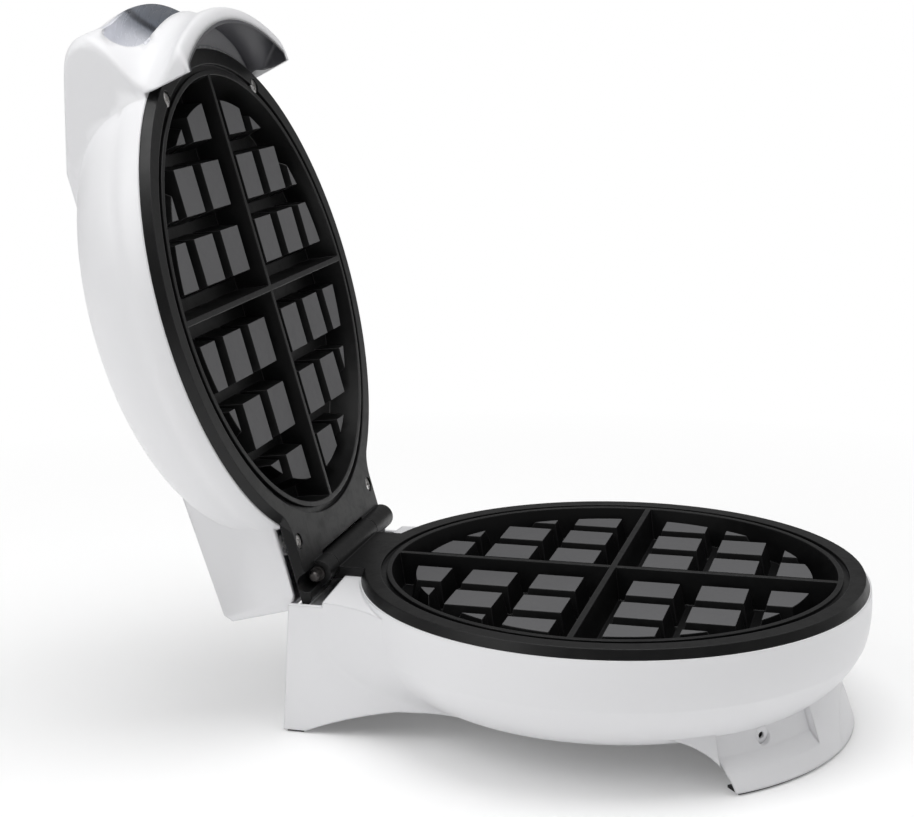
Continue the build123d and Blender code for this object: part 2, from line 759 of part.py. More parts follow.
def front_foot_pads():
    """Curved pads under the front feet."""
    inner, outer = skirt_r - skirt_wall + pad_inset, skirt_r - pad_inset
    first = degrees(atan2(-foot_rear_y, sqrt(skirt_r ** 2 - foot_rear_y ** 2))) + pad_inset
    last = degrees(atan2(sqrt(skirt_r ** 2 - front_arch_half_w ** 2), front_arch_half_w)) - pad_inset
    section = outline((inner, -height), ((outer, -height),), ((outer, -height + pad_t),), ((inner, -height + pad_t),))
    pad = Rot(0, 0, 180 + first) * revolve(Plane.XZ * section, Axis.Z, last - first)
    return pad + mirror_x(pad)


def placed(base, lid):
    """Opens the lid and puts the middle of the whole at x = y = 0, standing on z = 0."""
    swing = Pos(0, hinge_y, 0) * Rot(-open_angle, 0, 0) * Pos(0, -hinge_y, 0)
    pieces = dict(base)
    pieces.update({name: swing * solid for name, solid in lid.items()})
    boxes = [solid.bounding_box() for solid in pieces.values()]
    low = [min(tuple(box.min)[k] for box in boxes) for k in range(3)]
    high = [max(tuple(box.max)[k] for box in boxes) for k in range(3)]
    print("extents", [round(h - l, 3) for l, h in zip(low, high)], "low corner", [round(v, 4) for v in low])
    shift = Pos(-(low[0] + high[0]) / 2, -(low[1] + high[1]) / 2, -low[2])
    return {name: shift * solid for name, solid in pieces.items()}


def over(solid):
    """The same heating part above the lid's plate."""
    flipped = [mirror(piece, Plane.XY) for piece in solid.solids()]
    return flipped[0] if len(flipped) == 1 else Compound(flipped)


def main():
    base = {
        "base_housing": base_housing(), "lower_grid_plate": lower_grid_plate(), "lower_element": element(),
        "lower_element_clips": element_clips(), "lower_reflector": reflector(), "thermostat": thermostat(),
        "thermal_fuse": thermal_fuse(), "terminal_block": terminal_block(), "cord_gland": cord_gland(),
        "base_screws": base_screws(), "foot_screws": foot_screws(), "hinge_pin": hinge_pin(),
        "hinge_pin_clip": pin_clip(), "rear_foot_pads": rear_foot_pads(), "front_foot_pads": front_foot_pads(),
    }
    lid = {
        "lid_housing": lid_housing(), "upper_grid_plate": upper_grid_plate(), "upper_element": over(element()),
        "upper_element_clips": over(element_clips()), "upper_reflector": over(reflector()),
        "upper_cutout": over(thermostat()), "upper_reflector_screws": over(reflector_screws()),
        "plate_screws": plate_screws(), "grip_liner": grip_liner(), "pocket_liner": pocket_liner(),
        "lamp_lenses": lens_pair(), "lamps": lamp_pair(),
    }
    os.makedirs("parts", exist_ok=True)
    for name, solid in placed(base, lid).items():
        print(name, len(solid.solids()), round(solid.volume))
        export_step(solid, f"parts/{name}.step")


main()
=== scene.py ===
"""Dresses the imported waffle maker: moulded shells, coated plates, steel fittings, plain studio."""

import json
from math import cos, pi, radians, sin

import bmesh
import bpy
from bpy.props import FloatProperty, FloatVectorProperty, PointerProperty
from mathutils import Matrix, Vector


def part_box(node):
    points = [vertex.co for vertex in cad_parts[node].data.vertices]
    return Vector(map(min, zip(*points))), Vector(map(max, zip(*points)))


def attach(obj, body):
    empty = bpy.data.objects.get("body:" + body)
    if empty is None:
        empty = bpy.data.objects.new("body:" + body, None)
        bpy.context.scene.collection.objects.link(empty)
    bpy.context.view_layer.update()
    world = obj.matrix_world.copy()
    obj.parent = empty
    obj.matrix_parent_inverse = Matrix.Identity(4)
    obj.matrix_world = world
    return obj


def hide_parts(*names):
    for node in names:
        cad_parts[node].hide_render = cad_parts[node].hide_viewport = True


bl_info = {
    "name": "Waffle maker finish",
    "version": (1, 0, 0),
    "blender": (4, 5, 0),
    "location": "3D View > Sidebar > Waffle maker",
    "description": "Gives the packed waffle maker its plastics, coatings, screws and studio",
    "category": "Object",
}

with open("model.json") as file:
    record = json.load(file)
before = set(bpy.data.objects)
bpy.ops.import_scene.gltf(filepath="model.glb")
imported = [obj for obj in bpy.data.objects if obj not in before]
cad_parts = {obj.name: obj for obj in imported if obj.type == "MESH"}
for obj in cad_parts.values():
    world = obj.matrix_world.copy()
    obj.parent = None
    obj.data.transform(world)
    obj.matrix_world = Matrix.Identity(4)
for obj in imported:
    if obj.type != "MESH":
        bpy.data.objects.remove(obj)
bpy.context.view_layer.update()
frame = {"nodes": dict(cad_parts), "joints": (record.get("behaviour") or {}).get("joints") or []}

# The frame's rest pose has the lid open: LID_UP is the shut lid's upward direction, turned with it
HINGE = frame["joints"][0]
LID_OPEN = radians(HINGE["range_deg"][1])
LID_UP = Vector((0, sin(LID_OPEN), cos(LID_OPEN)))
UP, DOWN, FRONT = Vector((0, 0, 1)), Vector((0, 0, -1)), Vector((0, -1, 0))
WHITE = (1, 1, 1, 1)


# Properties


def colour_property(name, description, default):
    return FloatVectorProperty(name=name, description=description, subtype="COLOR", size=3,
                               default=default, min=0, max=1)


def length_property(name, description, default):
    return FloatProperty(name=name, description=description, default=default, min=0,
                         subtype="DISTANCE", unit="LENGTH")


def share_property(name, description, default):
    return FloatProperty(name=name, description=description, default=default, min=0, max=1,
                         subtype="FACTOR")


def angle_property(name, description, degrees):
    return FloatProperty(name=name, description=description, default=radians(degrees),
                         subtype="ANGLE")


def power_property(name, description, default):
    return FloatProperty(name=name, description=description, default=default, min=0,
                         subtype="POWER")


def plain_property(name, description, default):
    return FloatProperty(name=name, description=description, default=default, min=0)


class ShellLook(bpy.types.PropertyGroup):
    """Moulded shells of the base and the lid, and the parts let into them."""

    white: colour_property("White", "Colour of the moulded shells", (0.83, 0.83, 0.845))
    white_roughness: share_property("Shell roughness", "How dull the moulded shells are", 0.34)
    # Inside the visor: the shell's white plastic, coloured dark as painted shade
    visor: colour_property("Visor lining", "Colour inside the lid's visor", (0.085, 0.085, 0.095))
    # Thumb pocket: the shells' white plastic with painted shade, a little greyer at the near end and
    # darker at the far end, with a painted shadow band across it
    pocket: colour_property("Pocket lining", "Colour at the near end of the thumb pocket",
                            (0.74, 0.75, 0.8))
    # Far end of the pocket: painted shade
    pocket_shade: colour_property("Deep pocket", "Colour at the far end of the thumb pocket",
                                 (0.21, 0.23, 0.27))
    # Painted shadow band across the pocket
    pocket_shadow_band: colour_property("Pocket band", "Colour of the dark band across the thumb pocket",
                                 (0.05, 0.055, 0.07))
    lens: colour_property("Lens", "Colour of the lamp lenses", (0.55, 0.56, 0.58))
    lamp: colour_property("Lamp", "Colour of the lamp bodies", (0.8, 0.78, 0.7))
    edge_radius: length_property("Edge radius", "Rounding of the shells' edges", 0.0012)


class SkirtSizes(bpy.types.PropertyGroup):
    """Closed front of the foot skirt, and the bushes in its screw holes."""

    reach: length_property("Foot radius", "Radius of the skirt at the floor", 0.09615)
    slope: share_property("Taper", "How far the skirt draws in for each unit of height", 0.36)
    thickness: length_property("Thickness", "Wall of the skirt", 0.004)
    low: length_property("Low edge", "Height of the skirt's low edge", 0.0008)
    high: length_property("High edge", "Height up to which the front is closed", 0.018)
    half_turn: angle_property("Half turn", "Half the angle that is closed", 17)
    bush_hole: length_property("Bush hole", "Radius of the hole in a screw hole's bush", 0.0013)


class LipShift(bpy.types.PropertyGroup):
    """How far the thumb pocket's mouth and the lip over it are drawn down the front of the lid."""

    inward: length_property("Inward", "Shift towards the hinge", 0.0035)
    lower: length_property("Lower", "Shift towards the plates", 0.0045)
    half_width: length_property("Half width", "Half the width that the shift takes in", 0.062)
    fade: length_property("Fade", "Width at each end over which the shift fades", 0.024)
    spread: length_property("Spread", "Distance over which it fades along the lid", 0.036)


class PlateLook(bpy.types.PropertyGroup):
    """Coated baking plates."""

    coating: colour_property("Coating", "Colour of the non-stick coating", (0.002, 0.002, 0.0022))
    # Pegs' tops: a painted reflection, greyer than the coating
    peg_reflection: colour_property("Peg top", "Colour of the dull tops of the pegs", (0.09, 0.09, 0.093))
    peg_depth: length_property("Peg depth", "From the plates' meeting plane to the pegs", 0.0026)
    # Edge colour, also that of the flecks: rubbed wear, and a painted highlight along the plates'
    # edges
    worn_and_edge_highlight: colour_property("Rubbed edge", "Colour of the coating where edges are rubbed",
                          (0.03, 0.03, 0.032))
    roughness: share_property("Roughness", "How dull the coating is", 0.36)
    edge_radius: length_property("Edge radius", "Rounding of the cast edges", 0.0006)


class MetalLook(bpy.types.PropertyGroup):
    """Steel of the screws, the hinge and the inner parts."""

    steel: colour_property("Steel", "Colour of the bright steel", (0.8, 0.79, 0.78))
    stained: colour_property("Heat stain", "Colour of steel that has been hot", (0.3, 0.24, 0.19))
    blackened: colour_property("Blackened steel", "Colour of the hinge pin and the foot screws",
                               (0.09, 0.09, 0.095))
    roughness: share_property("Roughness", "How dull the steel is", 0.28)


class FittingLook(bpy.types.PropertyGroup):
    """Feet, fuse sleeve and terminal block."""

    rubber: colour_property("Rubber", "Colour of the rubber feet", (0.015, 0.015, 0.015))
    ceramic: colour_property("Ceramic", "Colour of the fuse's sleeve", (0.75, 0.7, 0.6))
    block: colour_property("Block", "Colour of the terminal block", (0.7, 0.7, 0.66))


class ScrewSizes(bpy.types.PropertyGroup):
    """Cross-recessed screws."""

    head_height: length_property("Head height", "Height of a screw's head", 0.0015)
    recess_length: length_property("Recess length", "Length of the cross recess", 0.0034)
    recess_width: length_property("Recess width", "Width of the cross recess", 0.0008)
    shank_radius: length_property("Shank radius", "Radius of a screw's shank", 0.0017)


class StageLook(bpy.types.PropertyGroup):
    """Floor, lamps and camera."""

    floor: colour_property("Floor", "Colour of the floor", (0.96, 0.96, 0.96))
    sky: plain_property("Sky", "Strength of the light from all round", 0.34)
    mirrored: plain_property("Mirrored sky", "Strength of the sky in reflections", 0.22)
    key: power_property("Key lamp", "Power of the lamp behind the lid", 9.5)
    top: power_property("Top lamp", "Power of the lamp overhead", 10.5)
    front: power_property("Front lamp", "Power of the lamp before the base", 3.5)
    lens: plain_property("Lens", "Focal length of the camera in millimetres", 76.65)
    distance: length_property("Camera distance", "From the camera to the point that it looks at",
                              0.77638)
    azimuth: angle_property("Azimuth", "Turn of the camera round the object", -75.3408)
    elevation: angle_property("Elevation", "Height angle of the camera", 12.4237)
    roll: angle_property("Roll", "Turn of the camera about its own axis", -0.3509)


class WaffleMakerLooks(bpy.types.PropertyGroup):
    """Everything that a user may change."""

    shells: PointerProperty(type=ShellLook)
    skirt: PointerProperty(type=SkirtSizes)
    lip: PointerProperty(type=LipShift)
    plates: PointerProperty(type=PlateLook)
    metal: PointerProperty(type=MetalLook)
    fittings: PointerProperty(type=FittingLook)
    screws: PointerProperty(type=ScrewSizes)
    stage: PointerProperty(type=StageLook)


def looks():
    return bpy.context.scene.waffle_maker


# Nodes


def fill(tree, node, **sockets):
    """Sets a node's sockets to values or links them to others: i0 is the first, From_Min a name."""
    for key, value in sockets.items():
        socket = node.inputs[int(key[1:]) if key[1:].isdigit() else key.replace("_", " ")]
        if isinstance(value, bpy.types.NodeSocket):
            tree.links.new(value, socket)
        else:
            socket.default_value = value
    return node


def add(tree, kind, settings=None, **sockets):
    """New node with its settings made and its sockets filled."""
    node = tree.nodes.new(kind)
    for key, value in (settings or {}).items():
        setattr(node, key, value)
    return fill(tree, node, **sockets)


def maths(tree, operation, a, b=0.0):
    return add(tree, "ShaderNodeMath", {"operation": operation}, i0=a, i1=b).outputs[0]


def vector_maths(tree, operation, a, b=(0, 0, 0)):
    """Outputs of a vector node: Vector, or Value where the result is a number."""
    return add(tree, "ShaderNodeVectorMath", {"operation": operation}, i0=a, i1=b).outputs


def dot(tree, a, b):
    return vector_maths(tree, "DOT_PRODUCT", a, b)["Value"]


def ramp(tree, value, low, high, style="LINEAR"):
    """Share that goes from 0 at low to 1 at high."""
    return add(tree, "ShaderNodeMapRange", {"interpolation_type": style}, Value=value,
               From_Min=low, From_Max=high).outputs[0]


def ranged(tree, value, low, high):
    """A value of 0 to 1, stretched from low to high."""
    return add(tree, "ShaderNodeMapRange", Value=value, To_Min=low, To_Max=high).outputs[0]


def mixed(tree, factor, a, b):
    """Colour between a and b, each a socket or three numbers."""
    first, last = (end if isinstance(end, bpy.types.NodeSocket) else (*end, 1) for end in (a, b))
    node = add(tree, "ShaderNodeMix", {"data_type": "RGBA"}, i0=factor, i6=first, i7=last)
    return node.outputs[2]


def object_place(tree):
    return add(tree, "ShaderNodeTexCoord").outputs["Object"]


# Shader groups

WAVE_HEIGHT = 1.6
MARKS_START, MARKS_FULL = 0.45, 0.75
EDGE_START, EDGE_FULL = 0.998, 0.9


def new_group(name, inputs, outputs):
    """Shader node group of named float inputs (label, default) and outputs (label, kind)."""
    group = bpy.data.node_groups.new(name, "ShaderNodeTree")
    for label, default in inputs:
        socket = group.interface.new_socket(label, in_out="INPUT", socket_type="NodeSocketFloat")
        socket.default_value = default
    for label, kind in outputs:
        group.interface.new_socket(label, in_out="OUTPUT", socket_type=f"NodeSocket{kind}")
    given, made = group.nodes.new("NodeGroupInput"), group.nodes.new("NodeGroupOutput")
    return group, given.outputs, made


def fine_grain():
    """Even fine grain of a moulded or sprayed surface."""
    group, given, made = new_group("fine grain", (("Scale", 900.0), ("Waves", 14.0)),
                                   (("Height", "Float"),))
    place = object_place(group)
    grain = add(group, "ShaderNodeTexNoise", Vector=place, Scale=given["Scale"], Detail=3.0,
                Roughness=0.6)
    waves = add(group, "ShaderNodeTexNoise", Vector=place, Scale=given["Waves"], Detail=1.0)
    low = maths(group, "MULTIPLY", waves.outputs[0], WAVE_HEIGHT)
    fill(group, made, Height=maths(group, "ADD", grain.outputs[0], low))
    return group


def tone_drift():
    """Slow change of tone over a surface, with faint handling marks."""
    group, given, made = new_group("tone drift", (("Scale", 9.0), ("Marks", 60.0)),
                                   (("Tone", "Float"), ("Marks", "Float")))
    place = object_place(group)
    tone = add(group, "ShaderNodeTexNoise", Vector=place, Scale=given["Scale"], Detail=2.0)
    marks = add(group, "ShaderNodeTexNoise", Vector=place, Scale=given["Marks"], Detail=6.0,
                Roughness=0.7, Distortion=0.8)
    sharp = ramp(group, marks.outputs[0], MARKS_START, MARKS_FULL)
    fill(group, made, Tone=tone.outputs[0], Marks=sharp)
    return group


def soft_edge():
    """Rounded normal at edges, and a mask of where the edges are."""
    group, given, made = new_group("soft edge", (("Radius", 0.001),),
                                   (("Normal", "Vector"), ("Edge", "Float")))
    bevel = add(group, "ShaderNodeBevel", {"samples": 6}, Radius=given["Radius"]).outputs[0]
    flat = add(group, "ShaderNodeNewGeometry").outputs["Normal"]
    edge = ramp(group, dot(group, bevel, flat), EDGE_START, EDGE_FULL)
    fill(group, made, Normal=bevel, Edge=edge)
    return group


def use_group(tree, name, **sockets):
    makers = {"fine grain": fine_grain, "tone drift": tone_drift, "soft edge": soft_edge}
    group = bpy.data.node_groups.get(name) or makers[name]()
    return add(tree, "ShaderNodeGroup", {"node_tree": group}, **sockets).outputs


# Materials: shares by which tones drift, the coating's flecks, and what marks, drawing lines and
# pegs change in the roughness

PLASTIC_DARKER, PLASTIC_MARKS = 0.97, 0.1
# The pegs' paler share drifts the tone of their painted reflection; their duller share is roughness
COATING_MARKS, PEG_DULLER, PEG_REFLECTION_PALER = 0.12, 0.2, 1.25
FLECK_START, FLECK_FULL, FLECK_SHARE = 0.16, 0.1, 0.25
LINES_SMOOTHER, LINES_DULLER = 0.06, 0.1
RUBBER_PALER = 1.8

# Flat tops of the pegs, which get the painted reflection and a duller roughness: how near their
# level a point lies, and how squarely it faces the axis
PEG_LEVEL_START, PEG_LEVEL_FULL = 0.0005, 0.0003
PEG_FACING_START, PEG_FACING_FULL = 0.9, 0.97

# Thumb pocket's painted shade: the painted shadow band's level along its normal, its half width,
# where it starts across, and where the painted shade darkens the far end
SHADOW_BAND_NORMAL, SHADOW_BAND_LEVEL = (0.279, -0.263, 0.923), 0.2132
SHADOW_BAND_HALF, SHADOW_BAND_CORE = 0.0022, 0.0004
SHADOW_BAND_ALONG, SHADOW_BAND_START, SHADOW_BAND_FULL = (0.253, -0.967, 0.0), -0.149, -0.141
POCKET_SHADE_START, POCKET_SHADE_FULL = SHADOW_BAND_LEVEL - 0.009, SHADOW_BAND_LEVEL + 0.001


def new_material(name):
    material = bpy.data.materials.new(name)
    material.use_nodes = True
    tree = material.node_tree
    return material, tree, tree.nodes["Principled BSDF"]


def relief(tree, height, **bump):
    """Normal of a surface with the height's relief on it."""
    return add(tree, "ShaderNodeBump", Height=height, **bump).outputs[0]


def moulded_plastic(name, colour, roughness, edge_radius):
    """Moulded plastic with a fine spark grain, faint marks and soft edges."""
    material, tree, shader = new_material(name)
    tone = use_group(tree, "tone drift", Scale=9.0, Marks=70.0)
    edge = use_group(tree, "soft edge", Radius=edge_radius)
    grain = use_group(tree, "fine grain", Scale=900.0)["Height"]
    darker = tuple(c * PLASTIC_DARKER for c in colour)
    fill(tree, shader, IOR=1.5, Base_Color=mixed(tree, tone["Tone"], darker, colour),
         Roughness=ranged(tree, tone["Marks"], roughness, roughness + PLASTIC_MARKS),
         Normal=relief(tree, grain, Normal=edge["Normal"], Strength=0.35, Distance=0.00002))
    return material


def shaded_pocket(look):
    """Pocket plastic with painted shade that darkens it towards the far end, and a painted shadow
    band across it.
    """
    material = moulded_plastic("pocket_plastic", look.pocket, roughness=0.26,
                               edge_radius=look.edge_radius / 3)
    tree = material.node_tree
    place = object_place(tree)
    level = dot(tree, place, SHADOW_BAND_NORMAL)
    # Painted shade, darker towards the far end of the pocket
    deep = ramp(tree, level, POCKET_SHADE_START, POCKET_SHADE_FULL, "SMOOTHSTEP")
    tone = mixed(tree, deep, look.pocket, look.pocket_shade)
    # Painted shadow band across the pocket, fading in from its near side
    off = maths(tree, "ABSOLUTE", maths(tree, "SUBTRACT", level, SHADOW_BAND_LEVEL))
    band = ramp(tree, off, SHADOW_BAND_HALF, SHADOW_BAND_CORE, "SMOOTHSTEP")
    shadow_band_onset = ramp(tree, dot(tree, place, SHADOW_BAND_ALONG), SHADOW_BAND_START, SHADOW_BAND_FULL, "SMOOTHSTEP")
    share = maths(tree, "MULTIPLY", band, shadow_band_onset)
    fill(tree, tree.nodes["Principled BSDF"], Base_Color=mixed(tree, share, tone, look.pocket_shadow_band))
    return material


def peg_tops(tree, axis, depth):
    """Share of a point in the pegs' flat tops, at one depth from the plates' meeting plane."""
    coords = add(tree, "ShaderNodeTexCoord").outputs
    offset = vector_maths(tree, "SUBTRACT", coords["Object"], HINGE["pos_m"])["Vector"]
    off = maths(tree, "ABSOLUTE", maths(tree, "ADD", dot(tree, offset, axis), depth))
    level = ramp(tree, off, PEG_LEVEL_START, PEG_LEVEL_FULL)
    flat = ramp(tree, dot(tree, coords["Normal"], axis), PEG_FACING_START, PEG_FACING_FULL)
    return maths(tree, "MULTIPLY", level, flat)


def coated_casting(name, look, axis):
    """Sprayed coating on a cast plate, lighter at its edges as rubbed wear and a painted highlight,
    and dull on the pegs' tops, which are painted greyer as a painted reflection.
    """
    material, tree, shader = new_material(name)
    edge = use_group(tree, "soft edge", Radius=look.edge_radius)
    tone = use_group(tree, "tone drift", Scale=22.0, Marks=140.0)
    grain = use_group(tree, "fine grain", Scale=1300.0)["Height"]
    speck = add(tree, "ShaderNodeTexVoronoi", Vector=object_place(tree), Scale=1400.0)
    flecks = ramp(tree, speck.outputs["Distance"], FLECK_START, FLECK_FULL)
    base = mixed(tree, maths(tree, "MULTIPLY", flecks, FLECK_SHARE), look.coating, look.worn_and_edge_highlight)
    # Lighter edges: rubbed wear and a painted highlight
    rubbed = maths(tree, "MULTIPLY", edge["Edge"], tone["Tone"])
    tops = peg_tops(tree, axis, look.peg_depth)
    # Painted reflection: the pegs' tops greyer than the coating
    peg_reflection_tone = mixed(tree, tone["Tone"], look.peg_reflection, tuple(PEG_REFLECTION_PALER * c for c in look.peg_reflection))
    dull = ranged(tree, tone["Marks"], look.roughness, look.roughness + COATING_MARKS)
    fill(tree, shader, Specular_IOR_Level=0.35,
         Base_Color=mixed(tree, tops, mixed(tree, rubbed, base, look.worn_and_edge_highlight), peg_reflection_tone),
         Roughness=maths(tree, "ADD", dull, maths(tree, "MULTIPLY", tops, PEG_DULLER)),
         Normal=relief(tree, grain, Normal=edge["Normal"], Strength=0.5, Distance=0.00003))
    return material


def steel(name, colour, stained, roughness, stain):
    """Bright or heat-stained steel with fine drawing lines."""
    material, tree, shader = new_material(name)
    drawn = add(tree, "ShaderNodeMapping", Vector=object_place(tree), Scale=(60.0, 900.0, 900.0))
    lines = add(tree, "ShaderNodeTexNoise", Vector=drawn.outputs[0], Scale=1.0,
                Detail=3.0).outputs[0]
    tone = use_group(tree, "tone drift", Scale=40.0, Marks=300.0)
    share = maths(tree, "MULTIPLY", tone["Tone"], stain)
    fill(tree, shader, Metallic=1.0, Base_Color=mixed(tree, share, colour, stained),
         Roughness=ranged(tree, lines, roughness - LINES_SMOOTHER, roughness + LINES_DULLER),
         Normal=relief(tree, lines, Strength=0.2, Distance=0.00002))
    return material


def rubber(name, colour):
    """Dull rubber with paler scuffs."""
    material, tree, shader = new_material(name)
    tone = use_group(tree, "tone drift", Scale=80.0, Marks=220.0)
    grain = use_group(tree, "fine grain", Scale=1800.0)["Height"]
    paler = tuple(c * RUBBER_PALER for c in colour)
    fill(tree, shader, Roughness=0.82, Base_Color=mixed(tree, tone["Marks"], colour, paler),
         Normal=relief(tree, grain, Strength=0.6, Distance=0.00004))
    return material


def paint(material, *nodes):
    """Gives CAD nodes one material."""
    for name in nodes:
        mesh = frame["nodes"][name].data
        mesh.materials.clear()
        mesh.materials.append(material)


# Moulded forms: points nearer than MERGE become one, and a point with more faces than POLE_FACES
# is the pole of a CAD dome; a bush's ends, outwards from the screw head, and its grip on the hole

MERGE = 0.000001
POLE_FACES = 100
WALL_SHARP, COPY_SHARP = radians(35), radians(32)
BUSH_LOW, BUSH_HIGH, BUSH_OVERLAP = 0.0012, 0.0022, 0.0006


def middle_of(node):
    return sum((Vector(corner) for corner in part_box(node)), Vector()) / 2


def new_piece(name, mesh, material, body):
    mesh.materials.clear()
    mesh.materials.append(material)
    piece = bpy.data.objects.new(name, mesh)
    bpy.context.scene.collection.objects.link(piece)
    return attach(piece, body)


def turned_wall(name, profile, centre, axis, side, turn, steps):
    """Mesh of a profile of (distance out, height) points, spun about an axis, half of the turn
    to either hand of the side direction."""
    mesh, shape = bpy.data.meshes.new(name), bmesh.new()
    ring = [shape.verts.new(centre + side * out + axis * high) for out, high in profile]
    edges = [shape.edges.new((point, ring[n - 1])) for n, point in enumerate(ring)]
    bmesh.ops.rotate(shape, cent=centre, matrix=Matrix.Rotation(-turn / 2, 3, axis), verts=ring)
    if turn < 2 * pi:
        shape.faces.new(ring)
    bmesh.ops.spin(shape, geom=ring + edges + list(shape.faces), cent=centre, axis=axis,
                   angle=turn, steps=steps)
    bmesh.ops.remove_doubles(shape, verts=shape.verts, dist=MERGE)
    bmesh.ops.recalc_face_normals(shape, faces=shape.faces)
    shape.to_mesh(mesh)
    shape.free()
    mesh.shade_smooth()
    mesh.set_sharp_from_angle(angle=WALL_SHARP)
    return mesh


def rounded(value):
    """Smooth step from 0 to 1."""
    share = min(1.0, max(0.0, value))
    return share * share * (3 - 2 * share)


def merged(mesh):
    """Editable copy of a CAD mesh, with its loose triangles joined."""
    shape = bmesh.new()
    shape.from_mesh(mesh)
    bmesh.ops.remove_doubles(shape, verts=shape.verts, dist=MERGE)
    return shape


def shifted_copy(node, sizes, middle, inward, lower):
    """Copy of a lid node whose points near the pocket are drawn inward and lower."""
    mesh = frame["nodes"][node].data.copy()
    shape = merged(mesh)
    poles = [point for point in shape.verts if len(point.link_faces) > POLE_FACES]
    bmesh.ops.dissolve_verts(shape, verts=poles)
    for point in shape.verts:
        offset = point.co - middle
        across = rounded((sizes.half_width - abs(offset.x)) / sizes.fade)
        along = rounded(1 - Vector((0, offset.y, offset.z)).length / sizes.spread)
        point.co += (inward * sizes.inward + lower * sizes.lower) * across * along
    shape.to_mesh(mesh)
    shape.free()
    mesh.shade_smooth()
    mesh.set_sharp_from_angle(angle=COPY_SHARP)
    return mesh


# Screws: turn of the first recess and of each next one, and the dome's drop and the recess's
# depth as shares of the head's height

FIRST_TURN, NEXT_TURN = 0.35, 0.9
DOME_DROP, RECESS_DEPTH = 0.35, 0.65


def centre_of(points):
    return sum(points, Vector()) / len(points)


def place_key(points):
    """Sorts bodies from the highest down, and from -X to +X at one height, to 0.1 mm."""
    centre = centre_of(points)
    return -round(centre.z, 4), round(centre.x, 4), round(centre.y, 4)


def islands(node):
    """Points of each loose body in a CAD node's mesh, in the same order on every run."""
    shape = merged(frame["nodes"][node].data)
    seen, groups = set(), []
    for start in shape.verts:
        edge, found = [start], []
        while edge:
            point = edge.pop()
            if point not in seen:
                seen.add(point)
                found.append(point.co.copy())
                edge.extend(link.other_vert(point) for link in point.link_edges)
        if found:
            groups.append(found)
    shape.free()
    return sorted(groups, key=place_key)


def screw_seat(points, axis, head_height):
    """Middle of a screw's head, its radius and its shank's length, measured along its axis."""
    heights = [point.dot(axis) for point in points]
    top, tail = max(heights), min(heights)
    middle = centre_of(points)
    middle += axis * (top - head_height / 2 - middle.dot(axis))
    offsets = [point - middle for point in points]
    radius = max((offset - axis * offset.dot(axis)).length for offset in offsets)
    return middle, radius, top - head_height - tail


